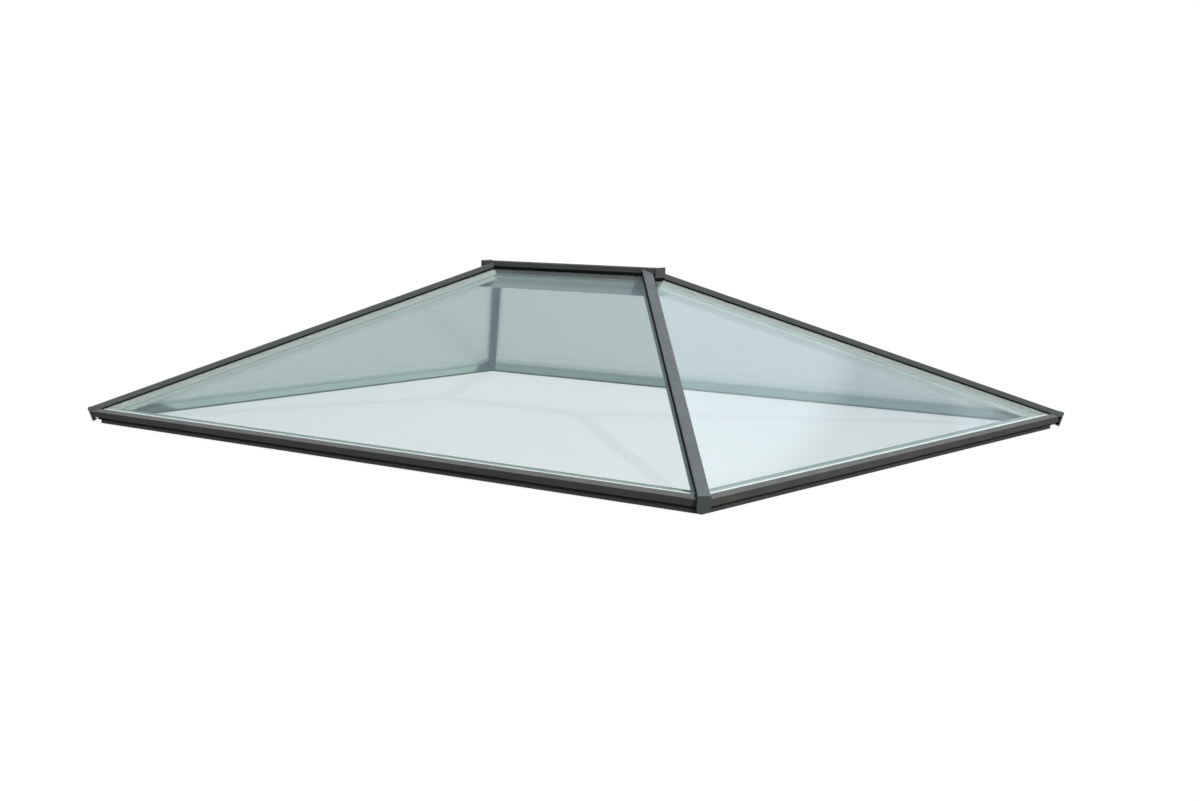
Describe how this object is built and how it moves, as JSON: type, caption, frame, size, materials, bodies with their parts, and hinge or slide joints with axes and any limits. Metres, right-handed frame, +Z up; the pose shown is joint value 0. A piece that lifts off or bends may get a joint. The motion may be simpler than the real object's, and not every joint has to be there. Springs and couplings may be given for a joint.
{
  "type": "roof lantern",
  "caption": "Hipped glass roof lantern: double-glazed sloping panes held by dark metal hip and ridge caps over a mitred rectangular eaves frame.",
  "frame": {"origin": "centre of the bounding box in plan, at the lower edge of the drip leg that runs round the eaves frame", "axes": "+X along the ridge and the long sides, +Y along the short sides towards the back pane, +Z up"},
  "size_m": [2.0218, 1.5218, 0.4154],
  "materials": {
    "frame_paint": "fine matt powder coat",
    "inner_paint": "satin powder coat",
    "glass": "clear float glass",
    "spacer_metal": "satin",
    "seal_rubber": "matt"
  },
  "bodies": {
    "root": {"eaves_beam_front": "frame_paint", "eaves_beam_right": "frame_paint", "eaves_beam_back": "frame_paint", "eaves_beam_left": "frame_paint", "eaves_trim_front": "frame_paint", "eaves_trim_right": "frame_paint", "eaves_trim_back": "frame_paint", "eaves_trim_left": "frame_paint", "hip_bar_front_left": "inner_paint", "hip_bar_front_right": "inner_paint", "hip_bar_back_right": "inner_paint", "hip_bar_back_left": "inner_paint", "hip_cap_front_left": "frame_paint", "hip_cap_front_right": "frame_paint", "hip_cap_back_right": "frame_paint", "hip_cap_back_left": "frame_paint", "hip_plate_front_left": "frame_paint", "hip_plate_front_right": "frame_paint", "hip_plate_back_right": "frame_paint", "hip_plate_back_left": "frame_paint", "ridge_beam": "inner_paint", "ridge_cap": "frame_paint", "ridge_plate_left": "frame_paint", "ridge_plate_right": "frame_paint", "ridge_block_left": "seal_rubber", "ridge_block_right": "seal_rubber", "glass_front": "glass", "glass_right": "glass", "glass_back": "glass", "glass_left": "glass", "spacer_front": "spacer_metal", "spacer_right": "spacer_metal", "spacer_back": "spacer_metal", "spacer_left": "spacer_metal", "hip_seals": "seal_rubber", "hip_bed_seals": "seal_rubber", "eaves_top_seals": "seal_rubber", "eaves_edge_seals": "seal_rubber", "eaves_bed_seals": "seal_rubber", "ridge_seals": "seal_rubber", "ridge_bed_seals": "seal_rubber"}
  },
  "joints": []
}
